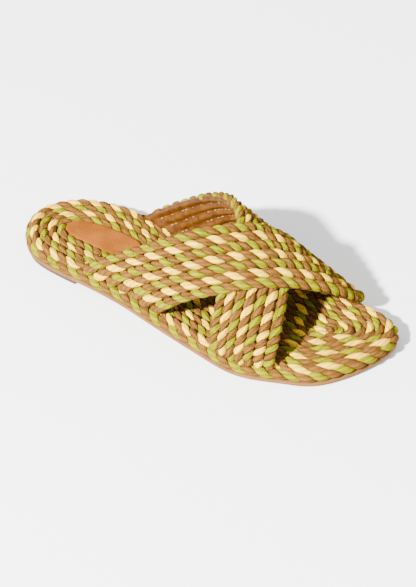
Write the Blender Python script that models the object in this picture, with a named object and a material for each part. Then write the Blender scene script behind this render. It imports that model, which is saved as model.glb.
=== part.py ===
import math

import bmesh
import bpy
import numpy as np

for item in list(bpy.data.objects):
    bpy.data.objects.remove(item, do_unlink=True)

# Driving sizes in metres: a right shoe, heel at x 0, toe at +x, big-toe side +y, ground z 0
shoe_length = 0.250
ball_width = 0.0945
sole_stack = 0.0122
outsole_thick = 0.0025
lift_thick = 0.0028
toe_spring = 0.0024
heel_breast = 0.0545
outsole_inset = 0.0012
lift_inset = 0.0022
edge_rope_wide = 0.0037
edge_rope_high = 0.0032
first_ring = 0.0058
coil_pitch = 0.0056
coil_rise = 0.0017
floor_drop = 0.0036
insert_back = 0.0276
insert_front = 0.0785
insert_thick = 0.0016
insert_gap = 0.0008
insert_power = 4.0
waist_step = 2.6
instep_height = 0.0626
strap_wall = 0.0021
strap_rope_rise = 0.0033
strap_valley = 0.0014
strap_inside = 0.0040
strap_lift = 0.0055
strap_foot = 0.0002
strap_ropes = 7
clearance = 0.0003
rim_chamfer = 0.0011
loop_points = 74
strap_steps = 32

# Outline: share of length, then medial and lateral half widths as shares of the ball width
outline_table = (
    (0.048, 0.241, 0.272),
    (0.120, 0.347, 0.359),
    (0.240, 0.388, 0.383),
    (0.380, 0.365, 0.404),
    (0.520, 0.389, 0.469),
    (0.640, 0.420, 0.527),
    (0.740, 0.451, 0.546),
    (0.840, 0.437, 0.456),
    (0.928, 0.398, 0.321),
)
tip_side = 0.0222

# Strap edges: share of length at four even stations from the lateral end to the medial end
top_back = (0.250, 0.539, 0.678, 0.673)
top_front = (0.464, 0.701, 0.838, 0.838)
under_back = (0.670, 0.632, 0.510, 0.259)
under_front = (0.803, 0.784, 0.673, 0.474)


def material(name, colour, rough):
    mat = bpy.data.materials.new(name)
    mat.use_nodes = True
    node = mat.node_tree.nodes["Principled BSDF"]
    node.inputs["Base Color"].default_value = (*colour, 1.0)
    node.inputs["Roughness"].default_value = rough
    return mat


def add_object(name, verts, faces, mat):
    mesh = bpy.data.meshes.new(name)
    mesh.from_pydata([tuple(map(float, v)) for v in verts], [], faces)
    mesh.validate()
    work = bmesh.new()
    work.from_mesh(mesh)
    bmesh.ops.remove_doubles(work, verts=work.verts, dist=1e-6)
    bmesh.ops.dissolve_degenerate(work, edges=work.edges, dist=1e-6)
    bmesh.ops.triangulate(work, faces=work.faces)
    bmesh.ops.recalc_face_normals(work, faces=work.faces)
    work.to_mesh(mesh)
    work.free()
    obj = bpy.data.objects.new(name, mesh)
    bpy.context.scene.collection.objects.link(obj)
    obj.data.materials.append(mat)
    return obj


def smooth_step(t):
    t = np.clip(t, 0.0, 1.0)
    return t * t * (3.0 - 2.0 * t)


# Underside of the outsole: lifted over the heel lift, flat under the ball, sprung at the toe
def underside(x):
    x = np.asarray(x, float)
    heel = lift_thick + clearance
    waist = smooth_step((x - heel_breast - 0.004) / 0.062)
    toe = np.clip((x - 0.79 * shoe_length) / (0.21 * shoe_length), 0.0, 1.2) ** 2
    return heel * (1.0 - waist) + toe_spring * toe


# Closed cubic curve through control points, resampled at even steps
def closed_curve(points, count):
    pts = np.array(points + points[:1], float)
    gaps = np.sqrt(np.hypot(*np.diff(pts, axis=0).T))
    total = len(gaps)
    slope = np.diff(pts, axis=0) / gaps[:, None]
    matrix = np.zeros((total, total))
    for k in range(total):
        matrix[k, k - 1] = gaps[k]
        matrix[k, k] = 2.0 * (gaps[k - 1] + gaps[k])
        matrix[k, (k + 1) % total] = gaps[k - 1]
    before = np.roll(slope, 1, axis=0)
    last = np.roll(gaps, 1)
    tangent = np.linalg.solve(matrix, 3.0 * (gaps[:, None] * before + last[:, None] * slope))
    out = []
    for k in range(total):
        t = np.linspace(0.0, 1.0, 24, endpoint=False)[:, None]
        start, stop = tangent[k] * gaps[k], tangent[(k + 1) % total] * gaps[k]
        a = 2.0 * t ** 3 - 3.0 * t ** 2 + 1.0
        b = t ** 3 - 2.0 * t ** 2 + t
        out.append(a * pts[k] + b * start + (1.0 - a) * pts[k + 1] + (t ** 3 - t ** 2) * stop)
    dense = np.vstack(out + [out[0][:1]])
    run = np.r_[0.0, np.cumsum(np.hypot(*np.diff(dense, axis=0).T))]
    even = np.linspace(0.0, run[-1], count, endpoint=False)
    return np.c_[np.interp(even, run, dense[:, 0]), np.interp(even, run, dense[:, 1])]


lateral_side = [(s * shoe_length, -w * ball_width) for s, _, w in outline_table]
medial_side = [(s * shoe_length, w * ball_width) for s, w, _ in reversed(outline_table)]
control = [(0.0, 0.0)] + lateral_side + [(shoe_length, tip_side)] + medial_side
outline = closed_curve(control, loop_points)
fine = closed_curve(control, 720)
fine[:, 0] -= fine[:, 0].min()
outline[:, 0] -= outline[:, 0].min()


# A loop starts at the heel and runs along the lateral side, so its tip parts it in two sides
def two_sides(ring):
    tip = int(np.argmax(ring[:, 0]))
    sides = ring[: tip + 1], np.vstack([ring[tip:], ring[:1]])
    return [side[np.argsort(side[:, 0])] for side in sides]


lateral_edge, medial_edge = two_sides(fine)


def medial(x):
    return np.interp(x, medial_edge[:, 0], medial_edge[:, 1])


def lateral(x):
    return -np.interp(x, lateral_edge[:, 0], lateral_edge[:, 1])


# Spine that the coil turns around, between the centre of the heel and the centre of the toes
spine_back = 0.035
spine_front = 0.205


def spine(points):
    x = np.clip(points[:, 0], spine_back, spine_front)
    return np.c_[x, 0.5 * (medial(x) - lateral(x))]


def inset_loop(points, inset):
    middle = spine(points)
    reach = points - middle
    size = np.hypot(reach[:, 0], reach[:, 1])[:, None]
    return points - reach / size * inset


brown = material("brown_rope", (0.42, 0.22, 0.10), 0.85)
lime = material("edge_rope_lime", (0.55, 0.50, 0.08), 0.85)
coil = material("coil_rope", (0.52, 0.38, 0.20), 0.85)
inner = material("inner_coil_rope", (0.50, 0.42, 0.18), 0.85)
rubber = material("tan_rubber", (0.52, 0.33, 0.18), 0.6)
lift = material("brown_rubber", (0.30, 0.18, 0.10), 0.6)
leather = material("tan_leather", (0.60, 0.29, 0.10), 0.5)


# Grid across the shoe: rows of stations, each with lateral and medial reach, top and bottom
def plate(name, stations, reach_lateral, reach_medial, bottom, top, mat, across=6):
    count = len(stations)
    share = np.linspace(0.0, 1.0, across + 1)
    ys = -reach_lateral[:, None] + share * (reach_lateral + reach_medial)[:, None]
    xs = np.repeat(stations[:, None], across + 1, axis=1)
    low = np.dstack([xs, ys, np.repeat(bottom[:, None], across + 1, axis=1)])
    high = np.dstack([xs, ys, np.repeat(top[:, None], across + 1, axis=1)])
    verts = np.vstack([low.reshape(-1, 3), high.reshape(-1, 3)])
    wide = across + 1
    shift = count * wide
    faces = []
    for i in range(count - 1):
        for j in range(across):
            a, b = i * wide + j, i * wide + j + 1
            c, d = (i + 1) * wide + j + 1, (i + 1) * wide + j
            faces.append((a, b, c, d))
            faces.append((shift + d, shift + c, shift + b, shift + a))
        for j in (0, across):
            a, d = i * wide + j, (i + 1) * wide + j
            faces.append((a, d, shift + d, shift + a))
    for i in (0, count - 1):
        for j in range(across):
            a, b = i * wide + j, i * wide + j + 1
            faces.append((a, b, shift + b, shift + a))
    return add_object(name, verts, faces, mat)


# Stations closer together at both ends, so that the round ends stay round
def end_stations(start, stop, count):
    t = 0.5 - 0.5 * np.cos(np.linspace(0.0, math.pi, count))
    return start + (stop - start) * t


# Sheet with the outline drawn in, from the heel's end to stop, on the sole's bend or flat on the ground
end_trim = 0.00005


def sheet_inside(name, inset, thick, stop, mat, count, flat):
    low, high = two_sides(inset_loop(fine, inset))
    xs = end_stations(low[0, 0] + end_trim, min(stop, low[-1, 0] - end_trim), count)
    base = np.zeros(count) if flat else underside(xs)
    reach_lateral = -np.interp(xs, low[:, 0], low[:, 1])
    reach_medial = np.interp(xs, high[:, 0], high[:, 1])
    return plate(name, xs, reach_lateral, reach_medial, base, base + thick, mat)


outsole = sheet_inside("outsole", outsole_inset, outsole_thick, 1.1 * shoe_length, rubber, 42, False)
heel_lift = sheet_inside("heel_lift", lift_inset, lift_thick, heel_breast, lift, 22, True)


# Edge rope: an oval tube that follows the outline just above the outsole
def edge_rope_rows():
    sides = 8
    corner = math.cos(math.pi / sides)
    rows = []
    for k in range(sides):
        turn = 2.0 * math.pi * (k + 0.5) / sides
        xy = inset_loop(outline, edge_rope_wide - edge_rope_wide * math.cos(turn) / corner)
        high = outsole_thick + clearance + edge_rope_high + edge_rope_high * math.sin(turn) / corner
        rows.append((xy, underside(xy[:, 0]) + high))
    return rows


def closed_rows(name, rows, mat):
    count = len(rows[0][0])
    verts = np.vstack([np.c_[xy, z] for xy, z in rows])
    faces = []
    for r in range(len(rows)):
        n = (r + 1) % len(rows)
        for i in range(count):
            j = (i + 1) % count
            faces.append((r * count + i, r * count + j, n * count + j, n * count + i))
    return add_object(name, verts, faces, mat)


edge_rope = closed_rows("edge_rope", edge_rope_rows(), lime)

# Footbed: rim rings over the edge rope, then three more rings, around a sunk floor
rim_gap = 0.0004
rim_under = outsole_thick + clearance + 2.0 * edge_rope_high + rim_gap
wall_inset = 2.0 * edge_rope_wide + rim_gap
rim_inset = 0.0032
ring_top = sole_stack
ring_valley = sole_stack - coil_rise
ring_camber = 0.0002
rings = 4
floor_high = sole_stack - floor_drop
floor_inset = first_ring + (rings - 0.5) * coil_pitch


def footbed_rows():
    rows = [(wall_inset, outsole_thick + clearance), (wall_inset, rim_under)]
    rows += [(rim_inset, rim_under), (rim_inset - 0.6 * rim_chamfer, rim_under + rim_chamfer)]
    for k in range(rings):
        centre = first_ring + k * coil_pitch
        rows.append((centre - 0.15 * coil_pitch, ring_top))
        rows.append((centre + 0.22 * coil_pitch, ring_top - ring_camber))
        if k < rings - 1:
            rows.append((centre + 0.5 * coil_pitch, ring_valley))
    rows.append((floor_inset, ring_valley))
    rows.append((floor_inset + ring_camber, floor_high))
    out = []
    for inset, high in rows:
        xy = inset_loop(outline, inset)
        out.append((xy, underside(xy[:, 0]) + high))
    return out


# Nested loops into a closed solid: strips across close the base and the top, each lateral point to its partner
def footbed_solid(name, rows, mat):
    count = len(rows[0][0])
    verts = np.vstack([np.c_[xy, z] for xy, z in rows])
    faces = []
    for r in range(len(rows) - 1):
        for i in range(count):
            j = (i + 1) % count
            faces.append((r * count + i, r * count + j, (r + 1) * count + j, (r + 1) * count + i))
    # strips across the loop join each lateral point with its medial partner
    for base, flip in ((0, True), ((len(rows) - 1) * count, False)):
        i, j = 1, count - 1
        faces.append((base, base + 1, base + j))
        while j - i > 1:
            if j - i == 2:
                faces.append((base + i, base + i + 1, base + j))
                break
            faces.append((base + i, base + i + 1, base + j - 1, base + j))
            i, j = i + 1, j - 1
    return add_object(name, verts, faces, mat)


footbed = footbed_solid("footbed_coil", footbed_rows(), coil)

# Forefoot coil: three more rings and a middle rope inside the fourth ring, shorter at the waist
core_inset = floor_inset + rim_gap + clearance
core_reach = 0.5 * ball_width
core_start = insert_front + clearance
core_round = 0.010


def forefoot_rows():
    rows = [(core_inset, floor_high + clearance), (core_inset, ring_valley)]
    for k in range(3):
        centre = core_inset + (k + 0.5) * coil_pitch
        rows.append((centre - 0.18 * coil_pitch, ring_top))
        rows.append((centre + 0.18 * coil_pitch, ring_top))
        rows.append((centre + 0.5 * coil_pitch, ring_valley))
    rows.append((core_inset + 3.25 * coil_pitch, ring_top))
    out = []
    for inset, high in rows:
        share = (core_reach - inset) / (core_reach - core_inset)
        start = core_start + (inset - core_inset) * waist_step
        # walk the loop from the waist on the lateral side, round the toe, back to the waist
        half = 22
        along = np.linspace(0.0, 1.0, half)
        xs = start + (spine_front - start) * (1.0 - np.cos(along * math.pi / 2))
        middle = spine(np.c_[xs, xs * 0.0])[:, 1]
        round_end = np.sqrt(1.0 - (1.0 - np.clip((xs - start) / core_round, 0.0, 1.0)) ** 2)
        low_y = middle - (lateral(xs) + middle - core_inset) * share * round_end
        high_y = middle + (medial(xs) - middle - core_inset) * share * round_end
        angle = np.linspace(-math.pi / 2, math.pi / 2, 20)[1:-1]
        tip = spine(np.array([[spine_front, 0.0]]))[0]
        far = []
        for a in angle:
            way = np.array([math.cos(a), math.sin(a)])
            side = fine - tip
            score = side @ way / np.hypot(side[:, 0], side[:, 1])
            far.append(np.hypot(*side[int(np.argmax(score))]))
        far = (np.array(far) - core_inset) * share
        arc = tip + np.c_[np.cos(angle), np.sin(angle)] * far[:, None]
        xy = np.vstack([np.c_[xs, low_y], arc, np.c_[xs, high_y][::-1][:-1]])
        out.append((xy, underside(xy[:, 0]) + high))
    return out


forefoot = footbed_solid("forefoot_coil", forefoot_rows(), inner)

# Heel insert: thin leather over the sunk floor, with a superellipse plan
def insert_plate():
    xs = end_stations(insert_back, insert_front, 24)
    t = (xs - insert_back) / (insert_front - insert_back)
    shape = np.sqrt(np.clip(1.0 - np.abs(2.0 * t - 1.0) ** insert_power, 0.0, 1.0))
    middle = spine(np.c_[xs, xs * 0.0])[:, 1]
    low_half = (lateral(xs) + middle - floor_inset - insert_gap) * shape + ring_camber
    high_half = (medial(xs) - middle - floor_inset - insert_gap) * shape + ring_camber
    low = underside(xs) + floor_high + clearance
    return plate(
        "heel_insert", xs, low_half - middle, high_half + middle, low, low + insert_thick, leather, across=4,
    )


heel_insert = insert_plate()


# The instep's height and its side of the middle both change along the shoe, per fifth of the length
instep_slope = -0.0180
instep_bend = -0.0037
crest_side = 0.0119
crest_side_slope = -0.0122


# Arch over the foot: the path of a rope axis at share s from the lateral edge to the medial edge
def arch_point(x, s, raise_by):
    d = (x - 0.56 * shoe_length) / (0.2 * shoe_length)
    crest = instep_height + instep_slope * d + instep_bend * d * d + raise_by
    foot = underside(x) + rim_under + strap_foot
    middle = crest_side + crest_side_slope * d
    wall = strap_wall - 0.5 * raise_by
    low_reach = lateral(x) - wall + middle
    high_reach = medial(x) - wall - middle
    angle = np.abs(s) * math.pi / 2
    side = np.where(s < 0.0, -low_reach, high_reach)
    power = np.where(s < 0.0, 0.84, 0.93)
    y = middle + side * np.sin(angle)
    z = foot + (crest - foot) * np.clip(np.cos(angle), 0.0, 1.0) ** power
    return np.stack([x, y, z], axis=-1)


def four_point(values, s):
    stations = np.array([-1.0, -1.0 / 3.0, 1.0 / 3.0, 1.0])
    return np.polyval(np.polyfit(stations, np.array(values) * shoe_length, 3), s)


def strap_solid(name, back, front, over):
    s = np.linspace(-1.0, 1.0, strap_steps + 1)
    lifted = strap_lift * np.exp(-((s + 0.05) / 0.5) ** 4) if over else s * 0.0
    start, stop = four_point(back, s), four_point(front, s)
    rope = [-0.5]
    rise = [0.0]
    for k in range(strap_ropes):
        rope += [k - 0.2, k + 0.2, k + 0.5]
        rise += [strap_rope_rise, strap_rope_rise, strap_valley]
    rise[-1] = 0.0
    rope = np.array(rope)
    rise = np.array(rise)
    share = rope / (strap_ropes - 1)
    xs = start[:, None] + (stop - start)[:, None] * share
    ss = np.repeat(s[:, None], len(rope), axis=1)
    middle = arch_point(xs, ss, np.repeat(lifted[:, None], len(rope), axis=1))
    # the rope wall's outward direction comes from the surface itself
    along = np.gradient(middle, axis=0)
    across = np.gradient(middle, axis=1)
    out = np.cross(across, along)
    out /= np.linalg.norm(out, axis=2)[:, :, None]
    if out[strap_steps // 2, 5, 2] < 0.0:
        out = -out
    out[0, :, 2] = 0.0
    out[-1, :, 2] = 0.0
    out /= np.linalg.norm(out, axis=2)[:, :, None]
    inside = np.full(len(rope), strap_inside)
    inside[[0, -1]] = 0.5 * strap_inside
    shell = middle + out * rise[:, None]
    lining = middle - out * inside[:, None]
    wide = len(rope)
    count = strap_steps + 1
    verts = np.vstack([shell.reshape(-1, 3), lining.reshape(-1, 3)])
    shift = count * wide
    faces = []
    for i in range(count - 1):
        for j in range(wide - 1):
            a, b = i * wide + j, i * wide + j + 1
            c, d = (i + 1) * wide + j + 1, (i + 1) * wide + j
            faces.append((a, b, c, d))
            faces.append((shift + d, shift + c, shift + b, shift + a))
        for j in (0, wide - 1):
            a, d = i * wide + j, (i + 1) * wide + j
            faces.append((a, d, shift + d, shift + a))
    for i in (0, count - 1):
        for j in range(wide - 1):
            a, b = i * wide + j, i * wide + j + 1
            faces.append((a, b, shift + b, shift + a))
    return add_object(name, verts, faces, brown)


upper = strap_solid("upper", top_back, top_front, True)
under = strap_solid("under_strap", under_back, under_front, False)


def boolean(target, tool, kind):
    step = target.modifiers.new("cut", "BOOLEAN")
    step.operation = kind
    step.solver = "EXACT"
    step.object = tool
    bpy.context.view_layer.update()
    graph = bpy.context.evaluated_depsgraph_get()
    made = bpy.data.meshes.new_from_object(target.evaluated_get(graph))
    target.modifiers.clear()
    target.data = made
    bpy.data.objects.remove(tool, do_unlink=True)


boolean(upper, under, "UNION")


# Notches in the rim where the four strap ends go down between rim ring and edge rope
notch_ends_gap = 0.0030
notch_gap = 0.0010


def notch(name, start, stop, side):
    xs = np.linspace(start - notch_ends_gap, stop + notch_ends_gap, 14)
    edge = medial(xs) if side > 0 else lateral(xs)
    outer = edge + 0.004
    inner = edge - strap_wall - strap_inside - notch_gap
    base = underside(xs) + rim_under - 2.0 * clearance
    ys = np.dstack([side * inner, side * outer])[0]
    low = np.dstack([np.repeat(xs[:, None], 2, axis=1), ys, np.repeat(base[:, None], 2, axis=1)])
    high = low.copy()
    high[:, :, 2] += 0.012
    verts = np.vstack([low.reshape(-1, 3), high.reshape(-1, 3)])
    shift = 2 * len(xs)
    faces = [(0, 1, shift + 1, shift), (shift - 2, shift - 1, 2 * shift - 1, 2 * shift - 2)]
    for i in range(len(xs) - 1):
        a, b, c, d = 2 * i, 2 * i + 1, 2 * i + 3, 2 * i + 2
        faces += [(a, b, c, d), (shift + a, shift + b, shift + c, shift + d)]
        faces += [(a, d, shift + d, shift + a), (b, c, shift + c, shift + b)]
    return add_object(name, verts, faces, coil)


notch_ends = (
    (top_back[0], top_front[0], -1),
    (top_back[3], top_front[3], 1),
    (under_back[0], under_front[0], -1),
    (under_back[3], under_front[3], 1),
)
for number, (start, stop, side) in enumerate(notch_ends):
    reach = 0.5 / (strap_ropes - 1) * (stop - start)
    cutter = notch("notch", (start - reach) * shoe_length, (stop + reach) * shoe_length, side)
    boolean(footbed, cutter, "DIFFERENCE")

# The row's origin is below the middle of the whole shoe
solids = [obj for obj in bpy.data.objects if obj.type == "MESH"]
corners = np.array([v.co for obj in solids for v in obj.data.vertices])
middle = 0.5 * (corners.min(axis=0) + corners.max(axis=0))
for obj in solids:
    for v in obj.data.vertices:
        v.co.x -= middle[0]
        v.co.y -= middle[1]
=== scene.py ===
import math

import bpy
import mathutils
import numpy as np
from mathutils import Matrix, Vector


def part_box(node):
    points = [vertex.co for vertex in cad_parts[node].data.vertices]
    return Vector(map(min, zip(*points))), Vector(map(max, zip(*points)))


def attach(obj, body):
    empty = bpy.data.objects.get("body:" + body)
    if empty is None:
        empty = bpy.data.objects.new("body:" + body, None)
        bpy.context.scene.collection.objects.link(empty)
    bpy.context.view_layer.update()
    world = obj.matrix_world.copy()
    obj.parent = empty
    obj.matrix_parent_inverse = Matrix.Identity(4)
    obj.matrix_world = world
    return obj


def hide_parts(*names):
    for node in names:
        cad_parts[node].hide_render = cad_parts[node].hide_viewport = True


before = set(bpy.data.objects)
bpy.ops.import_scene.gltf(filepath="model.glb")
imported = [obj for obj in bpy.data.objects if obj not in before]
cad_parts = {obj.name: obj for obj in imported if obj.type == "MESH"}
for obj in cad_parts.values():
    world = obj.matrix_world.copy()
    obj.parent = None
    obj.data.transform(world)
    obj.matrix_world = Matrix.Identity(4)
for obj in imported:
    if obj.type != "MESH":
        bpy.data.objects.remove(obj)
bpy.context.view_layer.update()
print("frame loaded")

# The last in metres: heel end at x 0, toe at +x, big-toe side at +y
last = {
    "length": 0.250,
    "ballWidth": 0.0945,
    "soleStack": 0.0122,
    "outsoleThick": 0.0025,
    "liftThick": 0.0028,
    "clearance": 0.0003,
    "toeSpring": 0.0024,
    "springStart": 0.79,  # share of the length
    "heelBreast": 0.0545,
    "waistGap": 0.004,  # from the breast to where the waist starts to come down
    "waistLong": 0.062,
    "tipSide": 0.0222,
    "spineBack": 0.035,
    "spineFront": 0.205,
    "spanPoints": 40,  # points of the spline between two rows of the table
    "outlinePoints": 720,
}

# share of length, medial and lateral half widths as shares of the ball width
outlineTable = (
    (0.048, 0.241, 0.272),
    (0.120, 0.347, 0.359),
    (0.240, 0.388, 0.383),
    (0.380, 0.365, 0.404),
    (0.520, 0.389, 0.469),
    (0.640, 0.420, 0.527),
    (0.740, 0.451, 0.546),
    (0.840, 0.437, 0.456),
    (0.928, 0.398, 0.321),
)


# 0 below 0, 1 above 1, and 3 t squared less 2 t cubed between them
def smoothStep(t):
    t = np.clip(t, 0.0, 1.0)
    return t * t * (3.0 - 2.0 * t)


# vectors divided by their lengths
def unit(vectors):
    return vectors / np.linalg.norm(vectors, axis=-1, keepdims=True)


# length along a path up to each of its points
def runAlong(path):
    return np.r_[0.0, np.cumsum(np.linalg.norm(np.diff(path, axis=0), axis=1))]


# the same path with points at even lengths
def resample(path, count, closed):
    whole = np.vstack([path, path[:1]]) if closed else path
    run = runAlong(whole)
    even = np.linspace(0.0, run[-1], count, endpoint=not closed)
    return np.stack([np.interp(even, run, column) for column in whole.T], axis=1)


# height of the outsole's underside: over the heel lift, down the waist, flat at the ball, up at the toe
def underside(x):
    x = np.asarray(x, float)
    waist = smoothStep((x - last["heelBreast"] - last["waistGap"]) / last["waistLong"])
    start = last["springStart"] * last["length"]
    toe = (np.maximum(x - start, 0.0) / (last["length"] - start)) ** 2
    return (last["liftThick"] + last["clearance"]) * (1.0 - waist) + last["toeSpring"] * toe


# Closed cubic spline through points, with steps by the root of each chord: its tangents solve the system
# that makes the curve bend evenly at every point, and it is resampled at even lengths
def closedCurve(points, count):
    pts = np.array(points + points[:1], float)
    gaps = np.sqrt(np.hypot(*np.diff(pts, axis=0).T))
    total = len(gaps)
    slope = np.diff(pts, axis=0) / gaps[:, None]
    before = np.roll(gaps, 1)
    rows = np.arange(total)
    matrix = np.zeros((total, total))
    matrix[rows, rows - 1] = gaps
    matrix[rows, rows] = 2.0 * (before + gaps)
    matrix[rows, (rows + 1) % total] += before
    side = 3.0 * (gaps[:, None] * np.roll(slope, 1, axis=0) + before[:, None] * slope)
    tangent = np.linalg.solve(matrix, side)
    leave = (tangent * gaps[:, None])[:, None]
    arrive = (np.roll(tangent, -1, axis=0) * gaps[:, None])[:, None]
    t = np.linspace(0.0, 1.0, last["spanPoints"], endpoint=False)[None, :, None]
    share = 2.0 * t**3 - 3.0 * t**2 + 1.0
    dense = share * pts[:-1, None] + (1.0 - share) * pts[1:, None]
    dense += (t**3 - 2.0 * t**2 + t) * leave + (t**3 - t**2) * arrive
    return resample(dense.reshape(-1, 2), count, True)


heelEnd, toeEnd = [(0.0, 0.0)], [(last["length"], last["tipSide"])]
lateralSide = [(s * last["length"], -w * last["ballWidth"]) for s, _, w in outlineTable]
medialSide = [(s * last["length"], w * last["ballWidth"]) for s, w, _ in reversed(outlineTable)]
outline = closedCurve(heelEnd + lateralSide + toeEnd + medialSide, last["outlinePoints"])
outline[:, 0] -= outline[:, 0].min()
tipIndex = int(np.argmax(outline[:, 0]))
downSide = outline[: tipIndex + 1]
upSide = np.vstack([outline[tipIndex:], outline[:1]])
downSide = downSide[np.argsort(downSide[:, 0])]
upSide = upSide[np.argsort(upSide[:, 0])]


# distance from the x axis to the edge on the big-toe side
def medial(x):
    return np.interp(x, upSide[:, 0], upSide[:, 1])


# distance from the x axis to the edge on the little-toe side
def lateral(x):
    return -np.interp(x, downSide[:, 0], downSide[:, 1])


# the line that the coil turns around: the middle of the sole, between two ends
def spine(x):
    x = np.clip(x, last["spineBack"], last["spineFront"])
    return x, 0.5 * (medial(x) - lateral(x))


# the outline drawn in towards the spine by a distance that may change along it
def insetLoop(points, inset):
    reach = points - np.stack(spine(points[:, 0]), axis=1)
    return points - unit(reach) * np.reshape(inset, (-1, 1))


# the heel's end and the outline's medial edge give where the row's origin is
ropeLow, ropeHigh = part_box("edge_rope")
origin = np.array([-ropeLow.x, outline[:, 1].max() - ropeHigh.y, 0.0])
print("origin in shoe coordinates", origin.round(5))


# A mesh object on the root body. Its part is points in shoe coordinates, which are moved to the row's origin,
# and sets of faces with their corner UVs and material numbers.
def makePiece(name, part, materials, node, smooth=True):
    verts, sets = part
    mesh = bpy.data.meshes.new(name)
    mesh.vertices.add(len(verts))
    mesh.vertices.foreach_set("co", (verts - origin).astype(np.float32).ravel())
    flat = np.concatenate([faces.ravel() for faces, _, _ in sets])
    totals = np.concatenate([np.full(len(faces), faces.shape[1]) for faces, _, _ in sets])
    mesh.loops.add(len(flat))
    mesh.loops.foreach_set("vertex_index", flat.astype(np.int32))
    mesh.polygons.add(len(totals))
    mesh.polygons.foreach_set("loop_start", np.r_[0, np.cumsum(totals)[:-1]].astype(np.int32))
    mesh.polygons.foreach_set("loop_total", totals.astype(np.int32))
    mesh.polygons.foreach_set("use_smooth", np.full(len(totals), smooth))
    mesh.polygons.foreach_set("material_index", np.concatenate([w for _, _, w in sets]).astype(np.int32))
    layer = mesh.uv_layers.new(name="threadUv")
    layer.data.foreach_set("uv", np.vstack([uvs for _, uvs, _ in sets]).astype(np.float32).ravel())
    mesh.update(calc_edges=True)
    for mat in materials:
        mesh.materials.append(mat)
    piece = bpy.data.objects.new(name, mesh)
    bpy.context.scene.collection.objects.link(piece)
    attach(piece, "root")
    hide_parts(node)


# several parts in one
def joined(parts):
    verts, sets, base = [], [], 0
    for points, own in parts:
        verts.append(points)
        sets += [(faces + base, uvs, which) for faces, uvs, which in own]
        base += len(points)
    return np.vstack(verts), sets


# faces of the piece's first material, with no UVs of their own
def plainSet(faces):
    faces = np.asarray(faces)
    return faces, np.zeros((faces.size, 2)), np.zeros(len(faces), int)


# the four corners of each cell of a grid, in order round the cell
def cellCorners(grid):
    return np.stack([grid[:-1, :-1], grid[1:, :-1], grid[1:, 1:], grid[:-1, 1:]], axis=2)


# two grids of the same size, near and far, closed into a slab by their four rims
def slab(near, far):
    n, m = near.shape[:2]
    grid = np.arange(n * m).reshape(n, m)
    cells = cellCorners(grid).reshape(-1, 4)
    rims = []
    for line, turned in ((grid[:, 0], True), (grid[:, -1], False), (grid[0], False), (grid[-1], True)):
        face = np.stack([line[:-1], line[1:], line[1:] + n * m, line[:-1] + n * m], axis=1)
        rims.append(face[:, ::-1] if turned else face)
    faces = np.vstack([cells, cells[:, ::-1] + n * m] + rims)
    return np.vstack([near.reshape(-1, 3), far.reshape(-1, 3)]), [plainSet(faces)]


# a shader node group with number inputs and the outputs Height and Shade
def newGroup(name, inputs):
    group = bpy.data.node_groups.new(name, "ShaderNodeTree")
    for label, value in inputs.items():
        socket = group.interface.new_socket(name=label, in_out="INPUT", socket_type="NodeSocketFloat")
        socket.default_value = value
    for label in ("Height", "Shade"):
        group.interface.new_socket(name=label, in_out="OUTPUT", socket_type="NodeSocketFloat")
    return group, group.nodes.new("NodeGroupInput"), group.nodes.new("NodeGroupOutput")


yarnLook = {
    "pattern": {"Ribs Along": 480.0, "Ribs Around": 6.0, "Fibre": 1000.0, "Patches": 150.0},
    "fibreDetail": 3.0,
    "patchDetail": 2.0,
    # how much of each pattern is in the height and in the shade; the ribs' part of the shade is painted
    # shade, darker in the grooves between ribs
    "ribHeight": 0.7,
    "fibreHeight": 0.6,
    "ribGroovePaintedShade": 0.3,
    "fibreShade": 0.6,
    "patchShade": 0.45,
    "shadeDown": 0.15,
    "span": (0.37, 0.66),
    "roughness": 0.95,
    "relief": 0.0016,
    "specular": 0.03,
    # dark and light tone of each yarn
    "brown": ((0.050, 0.022, 0.0048), (0.158, 0.068, 0.0132)),
    "lime": ((0.078, 0.074, 0.0001), (0.205, 0.194, 0.0002)),
    "cream": ((0.42, 0.24, 0.010), (0.86, 0.52, 0.030)),
}
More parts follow.
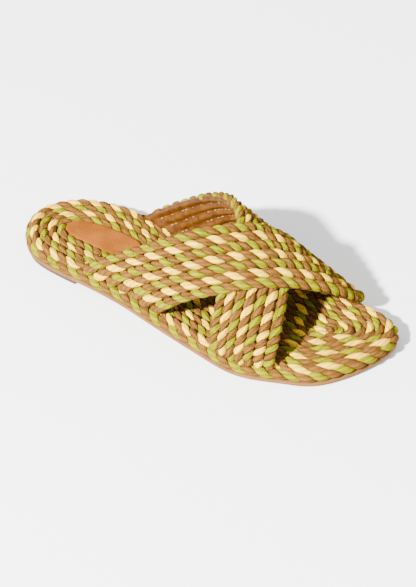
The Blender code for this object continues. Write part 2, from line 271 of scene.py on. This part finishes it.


# Yarn: two crossing sets of ribs along and round a strand, as on a braided cord, with fibre noise over them.
# A rib is the absolute sine of pi (along + around) or pi (along - around), and the higher one counts. The
# colour also follows the ribs and is darker in their grooves: painted shade.
def yarnGroup():
    group, given, result = newGroup("braidedYarn", yarnLook["pattern"])
    nodes, links = group.nodes, group.links
    coords = nodes.new("ShaderNodeTexCoord")
    uv = nodes.new("ShaderNodeUVMap")
    uv.uv_map = "threadUv"
    parts = nodes.new("ShaderNodeSeparateXYZ")
    links.new(uv.outputs["UV"], parts.inputs[0])

    # one math node, fed by sockets and numbers
    def work(kind, *values):
        node = nodes.new("ShaderNodeMath")
        node.operation = kind
        for socket, value in zip(node.inputs, values):
            if isinstance(value, (int, float)):
                socket.default_value = value
            else:
                links.new(value, socket)
        return node.outputs[0]

    # noise over the piece's own coordinates
    def noise(label, detail):
        node = nodes.new("ShaderNodeTexNoise")
        node.inputs["Detail"].default_value = detail
        links.new(coords.outputs["Object"], node.inputs["Vector"])
        links.new(given.outputs[label], node.inputs["Scale"])
        return node.outputs["Fac"]

    # one set of ribs
    def rib(kind):
        return work("ABSOLUTE", work("SINE", work("MULTIPLY", work(kind, along, around), math.pi)))

    along = work("MULTIPLY", parts.outputs["X"], given.outputs["Ribs Along"])
    around = work("MULTIPLY", parts.outputs["Y"], given.outputs["Ribs Around"])
    ribs = work("MAXIMUM", rib("ADD"), rib("SUBTRACT"))
    fibre = noise("Fibre", yarnLook["fibreDetail"])
    patches = noise("Patches", yarnLook["patchDetail"])
    height = work("MULTIPLY", ribs, yarnLook["ribHeight"])
    height = work("MULTIPLY_ADD", fibre, yarnLook["fibreHeight"], height)
    # painted shade: the yarn's colour is darker in the grooves between the ribs
    shade = work("MULTIPLY", ribs, yarnLook["ribGroovePaintedShade"])
    shade = work("MULTIPLY_ADD", patches, yarnLook["patchShade"], shade)
    shade = work("SUBTRACT", shade, yarnLook["shadeDown"])
    shade = work("MULTIPLY_ADD", fibre, yarnLook["fibreShade"], shade)
    links.new(height, result.inputs["Height"])
    links.new(shade, result.inputs["Shade"])
    return group


fineGrain, cloudDetail = {"Cells": 1400.0, "Clouds": 90.0}, 5.0


# Grain: small cells for the height and soft clouds for the colour, for leather, rubber and thread
def grainGroup():
    group, given, result = newGroup("surfaceGrain", fineGrain)
    nodes, links = group.nodes, group.links
    coords = nodes.new("ShaderNodeTexCoord")
    cells, clouds = nodes.new("ShaderNodeTexVoronoi"), nodes.new("ShaderNodeTexNoise")
    clouds.inputs["Detail"].default_value = cloudDetail
    for node, label in ((cells, "Cells"), (clouds, "Clouds")):
        links.new(coords.outputs["Object"], node.inputs["Vector"])
        links.new(given.outputs[label], node.inputs["Scale"])
    links.new(cells.outputs["Distance"], result.inputs["Height"])
    links.new(clouds.outputs["Fac"], result.inputs["Shade"])
    return group


braidedYarn, surfaceGrain = yarnGroup(), grainGroup()
bumpStrength = 0.7


# a material whose colour runs from dark to light with a group's Shade, and whose relief is its Height
def newMaterial(name, group, look):
    mat = bpy.data.materials.new(name)
    mat.use_nodes = True
    nodes, links = mat.node_tree.nodes, mat.node_tree.links
    surface = nodes["Principled BSDF"]
    pattern = nodes.new("ShaderNodeGroup")
    pattern.node_tree = group
    for label, value in look["pattern"].items():
        pattern.inputs[label].default_value = value
    ramp = nodes.new("ShaderNodeValToRGB")
    for element, position, tone in zip(ramp.color_ramp.elements, look["span"], look["tones"]):
        element.position = position
        element.color = (*tone, 1.0)
    links.new(pattern.outputs["Shade"], ramp.inputs["Fac"])
    links.new(ramp.outputs["Color"], surface.inputs["Base Color"])
    bump = nodes.new("ShaderNodeBump")
    bump.inputs["Strength"].default_value = bumpStrength
    bump.inputs["Distance"].default_value = look["relief"]
    links.new(pattern.outputs["Height"], bump.inputs["Height"])
    links.new(bump.outputs["Normal"], surface.inputs["Normal"])
    surface.inputs["Roughness"].default_value = look["roughness"]
    surface.inputs["Specular IOR Level"].default_value = look["specular"]
    return mat


yarns = []
for yarn in ("brown", "lime", "cream"):
    yarns.append(newMaterial(yarn + "Yarn", braidedYarn, {**yarnLook, "tones": yarnLook[yarn]}))
brown, lime, cream = range(3)

# tones are the dark and the light one, and span is where on the clouds they lie
finishes = {
    "insertLeather": {
        "pattern": {"Cells": 1000.0, "Clouds": 70.0},
        "tones": ((0.165, 0.047, 0.005), (0.225, 0.067, 0.009)),
        "span": (0.35, 0.65),
        "roughness": 0.75,
        "relief": 0.0003,
        "specular": 0.04,
    },
    "liningLeather": {
        "pattern": {"Cells": 1300.0, "Clouds": 240.0},
        "tones": ((0.036, 0.0105, 0.0012), (0.105, 0.036, 0.0045)),
        "span": (0.30, 0.70),
        "roughness": 0.42,
        "relief": 0.0003,
        "specular": 0.12,
    },
    "soleRubber": {
        "pattern": fineGrain,
        "tones": ((0.130, 0.055, 0.014), (0.175, 0.075, 0.020)),
        "span": (0.3, 0.7),
        "roughness": 0.7,
        "relief": 0.0001,
        "specular": 0.15,
    },
    "liftRubber": {
        "pattern": fineGrain,
        "tones": ((0.035, 0.014, 0.007), (0.060, 0.026, 0.014)),
        "span": (0.3, 0.7),
        "roughness": 0.6,
        "relief": 0.0001,
        "specular": 0.3,
    },
    "backingCloth": {
        "pattern": fineGrain,
        "tones": ((0.022, 0.009, 0.004), (0.045, 0.020, 0.008)),
        "span": (0.3, 0.7),
        "roughness": 0.9,
        "relief": 0.0003,
        "specular": 0.3,
    },
    "paleThread": {
        "pattern": {"Cells": 2600.0, "Clouds": 400.0},
        "tones": ((0.07, 0.025, 0.004), (0.40, 0.25, 0.09)),
        "span": (0.48, 0.60),
        "roughness": 0.7,
        "relief": 0.0001,
        "specular": 0.15,
    },
    "floorPaper": {
        "pattern": fineGrain,
        "tones": ((0.98, 0.98, 0.98), (0.98, 0.98, 0.98)),
        "span": (0.3, 0.7),
        "roughness": 0.9,
        "relief": 0.0,
        "specular": 0.1,
    },
}
finish = {name: newMaterial(name, surfaceGrain, look) for name, look in finishes.items()}
print("materials made")

rope = {
    "strands": 2,
    "aroundPoints": 14,
    "stepsPerTurn": 16,
    "seat": 0.24,  # from the rope's axis to a strand's widest place, as a share of the rope's radius
    "outer": 0.80,  # a strand's height over its widest place
    "inner": 0.30,
    "halfWidth": 0.80,
    "uneven": 0.036,  # hand-made variation in a strand's thickness
    "waves": (5, 9, 14),  # waves of that variation along the whole rope
}


# A laid rope of two strands, each with a D-shaped section: its widest place lies seat of the rope's radius
# from the axis, at the angle 2 pi (turn + k / 2) from up, and two half ellipses rise outer and inner from it.
# The round is stretched to high along up and wide across. A closed rope's last point repeats its first.
# u runs along in metres, v round a strand. The first strand has the rope's colour, the other is brown.
def layRope(path, up, high, wide, turns, closed, colour, seed):
    table = np.c_[path, up, np.broadcast_to(high, len(path)), np.broadcast_to(wide, len(path)), turns]
    run = runAlong(path)
    rows = int(abs(turns[-1] - turns[0]) * rope["stepsPerTurn"])
    even = np.linspace(0.0, run[-1], rows + 1)
    table = np.stack([np.interp(even, run, column) for column in table.T], axis=1)
    count = rows if closed else rows + 1
    centre, up, high, wide, turn = np.split(table[:count], (3, 6, 7, 8), axis=1)
    if closed:
        ahead = unit(np.roll(centre, -1, axis=0) - np.roll(centre, 1, axis=0))
    else:
        ahead = unit(np.gradient(centre, axis=0))
    up = unit(up - ahead * (up * ahead).sum(axis=1, keepdims=True))
    over = np.cross(ahead, up)

    around = rope["aroundPoints"]
    cells = (np.arange(rows + 1) % count)[:, None] * around + np.arange(around + 1) % around
    cells = cellCorners(cells).reshape(-1, 4)
    uvGrid = np.stack(np.meshgrid(even, np.arange(around + 1) / around, indexing="ij"), axis=-1)
    uvs = cellCorners(uvGrid).reshape(-1, 2)
    ring = np.linspace(0.0, 2.0 * math.pi, around, endpoint=False)
    rise = np.where(np.cos(ring) > 0.0, rope["outer"], rope["inner"]) * np.cos(ring)
    share = even[:count, None] / run[-1]
    noise = np.random.default_rng(seed)
    verts, sets, caps = [], [], []
    for k in range(rope["strands"]):
        angle = 2.0 * math.pi * (turn + k / rope["strands"])
        waves = sum(np.sin(2.0 * math.pi * (share * n + noise.random())) for n in rope["waves"])
        size = 1.0 + rope["uneven"] * waves
        out = rope["seat"] + size * rise
        side = rope["halfWidth"] * size * np.sin(ring)
        upward = (out * np.cos(angle) - side * np.sin(angle)) * high
        across = (out * np.sin(angle) + side * np.cos(angle)) * wide
        spot = centre[:, None] + up[:, None] * upward[..., None] + over[:, None] * across[..., None]
        base = k * count * around
        verts.append(spot.reshape(-1, 3))
        sets.append((base + cells, uvs, np.full(len(cells), colour if k == 0 else brown)))
        caps += [base + np.arange(around), base + count * around - 1 - np.arange(around)]
    if not closed:
        sets.append(plainSet(caps))
    return np.vstack(verts), sets


strap = {
    "ropes": 7,
    "crestAt": 0.56,  # share of the length where the crest's height is given
    "crestUnit": 0.2,  # share of the length for one crestSlope
    "crest": 0.0626,  # height of the arch's top over the floor, at crestAt
    "crestSlope": -0.0180,
    "crestBend": -0.0037,
    "middle": 0.0119,  # how far the crest lies towards the big-toe side
    "middleSlope": -0.0122,
    "lateralPower": 0.84,
    "medialPower": 0.93,
    "wall": 0.0021,
    "footHigh": 0.0098,
    "lift": 0.0055,  # how much the upper strap rises to pass over the other
    "liftAt": -0.05,
    "liftHalf": 0.5,
    "liftOut": 0.5,  # share of the rise by which it is also wider
    "points": 260,
    "ropeHigh": 0.0034,
    "ropeFill": 0.535,  # half width of a rope as a share of the distance to the next
    "ropeWide": (0.0024, 0.0037),
    "diveHigh": 0.0100,  # over this height the ropes lean in between edge rope and first ring
    "diveIn": 0.0036,
    "tail": 0.0050,
    "tailPoints": 12,
    "tailLean": (0.0, 0.26, -0.966),
    "tailLay": 0.014,
    "topSeed": 3,
    "underSeed": 5,
    # share of the length at four even stations from the lateral end to the medial end
    "topBack": (0.250, 0.539, 0.678, 0.673),
    "topFront": (0.464, 0.701, 0.838, 0.838),
    "underBack": (0.670, 0.632, 0.510, 0.259),
    "underFront": (0.803, 0.784, 0.673, 0.474),
    # turns of each rope from back to front: at the middle, per unit of s, per unit of s squared
    "topTurns": (
        (9.700, 7.672, -1.942),
        (8.038, 6.718, -1.464),
        (9.994, 8.702, -1.214),
        (7.846, 6.808, -0.874),
        (8.304, 7.462, -0.624),
        (7.408, 6.008, -1.114),
        (7.536, 6.128, -1.258),
    ),
    "underTurns": (
        (7.094, 7.458, 0.0),
        (6.324, 6.564, 0.0),
        (5.106, 6.056, 0.0),
        (4.888, 5.744, 0.0),
        (5.046, 5.680, 0.0),
        (4.490, 5.678, 0.0),
        (4.620, 5.048, 0.0),
    ),
}


# Arch over the foot: y = middle + side sin(a), z = foot + (crest - foot) cos(a)^p, a = quarter turn times s.
# side is negative towards the lateral end.
def archPoint(x, s, lift):
    d = (x / last["length"] - strap["crestAt"]) / strap["crestUnit"]
    crest = strap["crest"] + strap["crestSlope"] * d + strap["crestBend"] * d * d + lift
    foot = underside(x) + strap["footHigh"]
    middle = strap["middle"] + strap["middleSlope"] * d
    wall = strap["wall"] - strap["liftOut"] * lift
    angle = np.abs(s) * math.pi / 2
    side = np.where(s < 0.0, -(lateral(x) - wall + middle), medial(x) - wall - middle)
    power = np.where(s < 0.0, strap["lateralPower"], strap["medialPower"])
    z = foot + (crest - foot) * np.clip(np.cos(angle), 0.0, 1.0) ** power
    return np.stack([x, middle + side * np.sin(angle), z], axis=-1)


# the cubic in s through values at four even stations, as lengths
def fourPoint(values, s):
    stations = np.linspace(-1.0, 1.0, 4)
    return np.polyval(np.polyfit(stations, np.array(values) * last["length"], 3), s)


# A strap's middle surface: s runs from the lateral to the medial end, row counts ropes from the back.
# The upper strap rises by lift times e to the minus fourth power, and both lean in near the sole.
def strapSurface(kind, s, row):
    lift = s * 0.0
    if kind == "top":
        lift = strap["lift"] * np.exp(-(((s - strap["liftAt"]) / strap["liftHalf"]) ** 4))
    back, front = fourPoint(strap[kind + "Back"], s), fourPoint(strap[kind + "Front"], s)
    point = archPoint(back + (front - back) * row / (strap["ropes"] - 1), s, lift)
    above = point[..., 2] - underside(point[..., 0]) - strap["footHigh"]
    near = np.clip(1.0 - above / strap["diveHigh"], 0.0, 1.0)
    point[..., 1] -= np.sign(s) * strap["diveIn"] * near**2
    return point


# outward normals, from the surface's two slopes
def strapNormals(kind, s, row):
    step, rowStep = 0.002, 0.05
    low, high = np.clip(s - step, -1.0, 1.0), np.clip(s + step, -1.0, 1.0)
    along = strapSurface(kind, high, row) - strapSurface(kind, low, row)
    over = strapSurface(kind, s, row + rowStep) - strapSurface(kind, s, row - rowStep)
    out = unit(np.cross(over, along))
    away = np.stack([s * 0.0, s, 1.0 - np.abs(s)], axis=-1)
    return out * np.sign((out * away).sum(axis=-1, keepdims=True))


# one rope of a strap, with a tail at each end that leans in and down into the sole
def strapRope(kind, row):
    s = np.linspace(-1.0, 1.0, strap["points"])
    rows = np.full(len(s), float(row))
    path, out = strapSurface(kind, s, rows), strapNormals(kind, s, rows)
    ahead = unit(np.gradient(path, axis=0))
    gap = strapSurface(kind, s, rows + 0.5) - strapSurface(kind, s, rows - 0.5)
    gap -= ahead * (gap * ahead).sum(axis=1, keepdims=True)
    wide = np.clip(strap["ropeFill"] * np.linalg.norm(gap, axis=1), *strap["ropeWide"])
    middle, slope, bend = strap[kind + "Turns"][row]
    turns = middle + slope * s + bend * s * s
    ends = strap["tailPoints"]
    reach = np.linspace(strap["tail"], 0.0, ends, endpoint=False)
    more = reach / strap["tailLay"]
    lean = np.array(strap["tailLean"])
    head = path[0] + reach[:, None] * lean
    tail = path[-1] + reach[::-1, None] * lean * (1.0, -1.0, 1.0)
    return layRope(
        np.vstack([head, path, tail]),
        np.pad(out, ((ends, ends), (0, 0)), mode="edge"),
        strap["ropeHigh"],
        np.pad(wide, ends, mode="edge"),
        np.r_[turns[0] - more, turns, turns[-1] + more[::-1]],
        False,
        (lime, cream)[row % 2],
        10 * row + strap[kind + "Seed"],
    )


for kind in ("top", "under"):
    ropes = joined([strapRope(kind, row) for row in range(strap["ropes"])])
    makePiece(kind + "StrapRopes", ropes, yarns, "upper")
print("strap ropes laid")

lining = {
    "grid": (150, 100),
    "swell": 0.0006,
    "near": 0.0024,  # from the middle of the ropes in to the outer face
    "far": 0.0035,  # and to the inner face
    "reach": 0.42,  # how far it runs past the outer ropes' middles, in rows
    "rim": 0.3,  # over this part of a row the two faces draw together
    "nearRim": 0.0006,
    "farRim": 0.0010,
    "stitchStep": 0.0036,
    "stitchHalf": 0.0011,
    "stitchThick": 0.00034,
    "stitchDepth": 0.0001,
    "stitchEnd": 0.97,  # the rows of stitches run to this s
    "rowPoints": 400,
    "threadRings": (-0.97, -0.6, 0.6, 0.97),
    "threadSides": 6,
}


# Lining: a leather sheet inside a strap. Its inner face lies far + swell cos(2 pi row) in from the middle of
# the ropes, and towards the rims both faces draw together.
def liningSheet(kind):
    n, m = lining["grid"]
    start, stop = -lining["reach"], strap["ropes"] - 1 + lining["reach"]
    s, row = np.meshgrid(np.linspace(-1.0, 1.0, n), np.linspace(start, stop, m), indexing="ij")
    middle, out = strapSurface(kind, s, row), strapNormals(kind, s, row)
    full = smoothStep(np.minimum(row - start, stop - row) / lining["rim"])
    swell = lining["swell"] * np.cos(2.0 * math.pi * row) * full
    near = lining["near"] - lining["nearRim"] * (1.0 - full)
    far = lining["far"] + swell - lining["farRim"] * (1.0 - full)
    return slab(middle - out * near[..., None], middle - out * far[..., None])


# Spindles: short threads, each round at the middle and closing at both ends as the root of 1 - t squared
def spindles(centres, along, up, halfLong, radius):
    t = np.array(lining["threadRings"])
    sides = lining["threadSides"]
    ring = np.linspace(0.0, 2.0 * math.pi, sides, endpoint=False)[:, None]
    section = up[:, None] * np.cos(ring) + np.cross(along, up)[:, None] * np.sin(ring)
    wide = (radius * np.sqrt(1.0 - t * t))[:, None, None]
    spot = centres[:, None, None] + along[:, None, None] * (t * halfLong)[:, None, None]
    spot = spot + wide * section[:, None]
    size = len(t) * sides
    cells = cellCorners(np.arange(len(t))[:, None] * sides + np.arange(sides + 1) % sides)
    base = np.arange(len(centres))[:, None] * size
    quads = (base[..., None] + cells.reshape(-1, 4)).reshape(-1, 4)
    caps = np.vstack([base + np.arange(sides), base + size - 1 - np.arange(sides)])
    return spot.reshape(-1, 3), [plainSet(quads), plainSet(caps)]


# places along a row of a strap at even steps: point, direction and outward normal
def rowPlaces(kind, row, step, depth):
    slopeStep = 0.004
    s = np.linspace(-lining["stitchEnd"], lining["stitchEnd"], lining["rowPoints"])
    run = runAlong(strapSurface(kind, s, np.full(len(s), float(row))))
    at = np.interp(np.arange(0.5 * step, run[-1], step), run, s)
    rows = np.full(len(at), float(row))
    along = unit(strapSurface(kind, at + slopeStep, rows) - strapSurface(kind, at - slopeStep, rows))
    out = strapNormals(kind, at, rows)
    return strapSurface(kind, at, rows) + out * depth, along, out


stitchAt = lining["swell"] - lining["far"] - lining["stitchDepth"]
for kind in ("top", "under"):
    makePiece(kind + "StrapLining", liningSheet(kind), [finish["liningLeather"]], "upper")
    threads = []
    for row in range(strap["ropes"] - 1):
        places = rowPlaces(kind, row + 0.5, lining["stitchStep"], stitchAt)
        threads.append(spindles(*places, lining["stitchHalf"], lining["stitchThick"]))
    makePiece(kind + "StrapThreads", joined(threads), [finish["paleThread"]], "upper")
print("linings sewn")

sole = {
    "edgeWide": 0.0037,
    "edgeHigh": 0.0033,
    "edgeUp": 0.0059,
    "edgeLay": (0.0160, 0.0160),  # length of one turn at the heel and at the toe
    "edgeSeed": 1,
    "firstRing": 0.0058,
    "coilPitch": 0.0056,
    "coilLay": (0.0135, 0.0185),
    "layChange": (0.60, 0.28),  # start and length of the change between the two, as shares of the length
    "ringTop": last["soleStack"],
    "ringHigh": 0.0032,
    "ringWide": 0.00295,
    "ringPhase": (0.62, 0.54, 0.55, 0.50),  # turn at the heel's end
    "ringSeed": 20,
    "pushIn": (0.0026, 0.0016, 0.0008, 0.0),  # how far strap ends push each ring in
    "pushReach": 0.045,  # how far past a strap's end the push is felt, as a share of the length
    "pushBlend": 0.03,
}


# straight up at each point of a path
def upright(path):
    return np.tile((0.0, 0.0, 1.0), (len(path), 1))


# a rope's turns along a path: one per lay, which changes over the ball from its heel to its toe value
def turnsAlong(path, lay):
    start, long = sole["layChange"]
    middle = 0.5 * (path[1:] + path[:-1])
    share = smoothStep((middle[:, 0] / last["length"] - start) / long)
    steps = np.linalg.norm(np.diff(path, axis=0), axis=1) / (lay[0] + (lay[1] - lay[0]) * share)
    return np.r_[0.0, np.cumsum(steps)]


# a closed rope over a loop in plan, its axis a height over the underside, with a whole number of turns
def loopRope(loop, axisHigh, high, wide, lay, colour, phase, seed):
    loop = np.vstack([loop, loop[:1]])
    path = np.c_[loop, underside(loop[:, 0]) + axisHigh]
    turns = turnsAlong(path, lay)
    turns = phase + turns * round(turns[-1]) / turns[-1]
    return layRope(path, upright(path), high, wide, turns, True, colour, seed)


# a closed rope of the coil, as high and wide as all of them
def ringRope(loop, lay, colour, phase, seed):
    axisHigh = sole["ringTop"] - sole["ringHigh"]
    return loopRope(loop, axisHigh, sole["ringHigh"], sole["ringWide"], lay, colour, phase, seed)


# 1 where a strap's end goes down between edge rope and first ring, 0 elsewhere, smooth between
def pushed(points):
    total = np.zeros(len(points))
    share = points[:, 0] / last["length"]
    for kind in ("top", "under"):
        for end, side in ((0, -1), (3, 1)):
            start = strap[kind + "Back"][end] - sole["pushReach"]
            stop = strap[kind + "Front"][end] + sole["pushReach"]
            inside = smoothStep((share - start) / sole["pushBlend"])
            inside = inside * smoothStep((stop - share) / sole["pushBlend"])
            total = np.maximum(total, inside * (points[:, 1] * side > 0.0))
    return total


edgeRope = loopRope(
    insetLoop(outline, sole["edgeWide"]),
    sole["edgeUp"],
    sole["edgeHigh"],
    sole["edgeWide"],
    sole["edgeLay"],
    lime,
    0.0,
    sole["edgeSeed"],
)
makePiece("edgeRopeStrands", edgeRope, yarns, "edge_rope")

rings = []
for ring, (push, phase) in enumerate(zip(sole["pushIn"], sole["ringPhase"])):
    loop = insetLoop(outline, sole["firstRing"] + ring * sole["coilPitch"] + push * pushed(outline))
    rings.append(ringRope(loop, sole["coilLay"], (cream, lime)[ring % 2], phase, sole["ringSeed"] + ring))
makePiece("footbedCoilRopes", joined(rings), yarns, "footbed_coil")

insert = {
    "grid": (90, 30),
    "back": 0.0252,
    "front": 0.0785,
    "power": 6.0,
    "ropeGap": 0.0004,
    "sideGrow": 0.0001,
    "under": 0.0088,
    "top": 0.0106,
    "dome": 0.0003,
    "edge": 0.0007,
    "edgeShare": 0.18,
}
inner = {
    "first": 0.0293,
    "turns": 3,
    "lay": (0.0135, 0.0150),
    "phaseStep": 0.13,
    "least": 0.0010,
    "round": 0.006,
    "startPoints": 300,
    "sidePoints": 200,
    "arcPoints": 90,
    "points": 400,
    "seed": 30,
    "coreStart": 0.163,
    "coreStop": 0.207,
    "corePoints": 60,
    "coreSeed": 40,
}


# Half width of the sole at x, less an inset
def roomInside(x, inset):
    return 0.5 * (medial(x) + lateral(x)) - inset


# Inner turn of the forefoot: its sides lie roomInside from the middle line, from where there is room for it,
# and its front is the outline's arc round the spine's end, less the inset
def innerLoop(inset):
    xs = np.linspace(insert["front"] + sole["ringWide"], last["spineFront"], inner["startPoints"])
    start = xs[np.argmax(roomInside(xs, inset) > -inner["least"])]
    xs = np.linspace(start, last["spineFront"], inner["sidePoints"])
    middle = spine(xs)[1]
    roundEnd = np.sqrt(1.0 - (1.0 - np.clip((xs - start) / inner["round"], 0.0, 1.0)) ** 2)
    half = np.maximum(roomInside(xs, inset), inner["least"]) * roundEnd
    tip = np.array([xs[-1], middle[-1]])
    ray = outline - tip
    angle = np.arctan2(ray[:, 1], ray[:, 0])
    order = np.argsort(angle)
    turn = np.linspace(-math.pi / 2, math.pi / 2, inner["arcPoints"])[1:-1]
    far = np.interp(turn, angle[order], np.hypot(*ray[order].T)) - inset
    arc = tip + np.c_[np.cos(turn), np.sin(turn)] * np.maximum(far, inner["least"])[:, None]
    low, high = np.c_[xs, middle - half], np.c_[xs, middle + half][::-1]
    return resample(np.vstack([low, arc, high[:-1]]), inner["points"], True)


# the short rope that fills the middle of the ball
def coreRope():
    xs = np.linspace(inner["coreStart"], inner["coreStop"], inner["corePoints"])
    path = np.c_[xs, spine(xs)[1], underside(xs) + sole["ringTop"] - sole["ringHigh"]]
    turns = turnsAlong(path, inner["lay"])
    high, wide = sole["ringHigh"], sole["ringWide"]
    return layRope(path, upright(path), high, wide, turns, False, lime, inner["coreSeed"])


innerRopes = [coreRope()]
for turn in reversed(range(inner["turns"])):
    loop = innerLoop(inner["first"] + turn * sole["coilPitch"])
    phase = inner["phaseStep"] * turn
    innerRopes.insert(0, ringRope(loop, inner["lay"], (cream, lime)[turn % 2], phase, inner["seed"] + turn))
makePiece("forefootCoilRopes", joined(innerRopes), yarns, "forefoot_coil")
print("sole ropes laid")

sheet = {
    "points": 240,
    # inset from the outline and height over the underside, from below to the top
    "outsole": (
        (0.0032, 0.0),
        (0.0018, 0.0),
        (0.0012, 0.0004),
        (0.0010, 0.0012),
        (0.0011, last["outsoleThick"] - 0.0003),
        (0.0016, last["outsoleThick"]),
        (0.0060, last["outsoleThick"]),
    ),
    "footbed": (
        (0.0080, last["outsoleThick"] + last["clearance"]),
        (0.0078, 0.0066),
        (0.0100, 0.0082),
        (0.0140, 0.0084),
    ),
    # inset and height over the floor
    "heel": (
        (0.0030, 0.0),
        (0.0024, 0.0003),
        (0.0022, 0.0010),
        (0.0022, last["liftThick"]),
    ),
    "breastPoints": 20,
}
coarse = resample(outline, sheet["points"], True)


# A sheet of the sole: nested loops, each at an inset and a height over the underside.
# Strips across close it below and on top, each lateral point to its medial partner.
def soleSheet(points, rows):
    count, half = len(points), len(points) // 2
    loops = [insetLoop(points, inset) for inset, _ in rows]
    verts = np.vstack([np.c_[loop, underside(loop[:, 0]) + high] for loop, (_, high) in zip(loops, rows)])
    i, k = np.arange(count), np.arange(1, half - 1)
    quads, tris = [], []
    for r in range(len(rows) - 1):
        a, b = r * count + i, r * count + (i + 1) % count
        quads.append(np.stack([a, b, b + count, a + count], axis=1))
    for base, step in ((0, -1), ((len(rows) - 1) * count, 1)):
        strip = np.stack([base + k, base + k + 1, base + count - k - 1, base + count - k], axis=1)
        ends = base + np.array([[0, 1, count - 1], [half - 1, half, half + 1]])
        quads.append(strip[:, ::step])
        tris.append(ends[:, ::step])
    return verts, [plainSet(np.vstack(quads)), plainSet(np.vstack(tris))]


# The heel layer: the outline up to the breast, cut straight there, flat under the heel
def heelLayer():
    heel = coarse[coarse[:, 0] < last["heelBreast"]]
    turn = np.arctan2(heel[:, 1], heel[:, 0] - last["heelBreast"]) % (2.0 * math.pi)
    heel = heel[np.argsort(turn)]
    loops = []
    for inset, z in sheet["heel"]:
        arc = insetLoop(heel, inset)
        loop = np.vstack([arc, np.linspace(arc[-1], arc[0], sheet["breastPoints"])[1:-1]])
        loops.append(np.c_[loop, np.full(len(loop), z)])
    count = len(loops[0])
    i = np.arange(count)
    rows = [np.stack([r * count + i, r * count + (i + 1) % count], axis=1) for r in range(len(loops))]
    quads = np.vstack([np.c_[low, high[:, ::-1]] for low, high in zip(rows[:-1], rows[1:])])
    caps = np.vstack([i[::-1], (len(loops) - 1) * count + i])
    return np.vstack(loops), [plainSet(quads), plainSet(caps)]


# Heel insert: thin leather with a superellipse plan. Its top lies top + dome (1 - v squared) over the
# underside, with v from side to side, and is turned down along the edge.
def heelInsert():
    n, m = insert["grid"]
    t = 0.5 - 0.5 * np.cos(np.linspace(0.0, math.pi, n))
    xs = insert["back"] + (insert["front"] - insert["back"]) * t
    fromMiddle = np.abs(2.0 * t - 1.0)
    shape = np.sqrt(np.clip(1.0 - fromMiddle ** insert["power"], 0.0, 1.0))
    middle = spine(xs)[1]
    inset = sole["firstRing"] + (len(sole["pushIn"]) - 0.5) * sole["coilPitch"] - insert["ropeGap"]
    low = (lateral(xs) + middle - inset) * shape + insert["sideGrow"]
    high = (medial(xs) - middle - inset) * shape + insert["sideGrow"]
    v = np.linspace(-1.0, 1.0, m)
    y = middle[:, None] + v * np.where(v < 0.0, low[:, None], high[:, None])
    rim = np.minimum(1.0 - np.abs(v)[None], 2.0 * (1.0 - fromMiddle)[:, None])
    turnedDown = insert["edge"] * (1.0 - smoothStep(rim / insert["edgeShare"]))
    top = insert["top"] + insert["dome"] * (1.0 - v**2)[None] - turnedDown
    x = np.repeat(xs[:, None], m, axis=1)
    base = underside(x)
    return slab(np.dstack([x, y, base + top]), np.dstack([x, y, base + insert["under"]]))


outsoleSheet, footbedBase = soleSheet(coarse, sheet["outsole"]), soleSheet(coarse, sheet["footbed"])
makePiece("outsoleSheet", outsoleSheet, [finish["soleRubber"]], "outsole")
makePiece("footbedBase", footbedBase, [finish["backingCloth"]], "footbed_coil")
makePiece("heelLayer", heelLayer(), [finish["liftRubber"]], "heel_lift", smooth=False)
makePiece("heelInsertLeather", heelInsert(), [finish["insertLeather"]], "heel_insert")
print("sole made")

studio = {
    "cameraAt": (0.8680, -1.2685, 1.2323),
    "aimAt": (0.0119, -0.0067, 0.0155),
    "lens": 200.0,
    "sensor": 36.0,
    "clip": (0.05, 50.0),
    "floorHalf": 6.0,
    "worldColour": (1.0, 1.0, 1.0, 1.0),
    "worldLight": 1.35,
    "keyAt": (-0.206, -2.355, 1.847),
    "keySize": 0.16,
    "keyPower": 620.0,
}


# an object in the scene, placed so that its -Z looks at the target
def placeAimed(name, data, at, target):
    obj = bpy.data.objects.new(name, data)
    bpy.context.scene.collection.objects.link(obj)
    obj.location = at
    look = mathutils.Vector(target) - mathutils.Vector(at)
    obj.rotation_euler = look.to_track_quat("-Z", "Y").to_euler()
    return obj


far = studio["floorHalf"]
floorMesh = bpy.data.meshes.new("floor")
floorMesh.from_pydata([(-far, -far, 0), (far, -far, 0), (far, far, 0), (-far, far, 0)], [], [(0, 1, 2, 3)])
floorMesh.materials.append(finish["floorPaper"])
floor = bpy.data.objects.new("floor", floorMesh)
bpy.context.scene.collection.objects.link(floor)

world = bpy.data.worlds.new("studioWorld")
bpy.context.scene.world = world
world.use_nodes = True
background = world.node_tree.nodes["Background"]
background.inputs["Color"].default_value = studio["worldColour"]
background.inputs["Strength"].default_value = studio["worldLight"]

keyData = bpy.data.lights.new("keyLight", "AREA")
keyData.size = studio["keySize"]
keyData.energy = studio["keyPower"]
placeAimed("keyLight", keyData, studio["keyAt"], (0.0, 0.0, 0.0))

cameraData = bpy.data.cameras.new("camera")
cameraData.lens = studio["lens"]
cameraData.sensor_width = studio["sensor"]
cameraData.clip_start, cameraData.clip_end = studio["clip"]
bpy.context.scene.camera = placeAimed("camera", cameraData, studio["cameraAt"], studio["aimAt"])
print("studio ready")
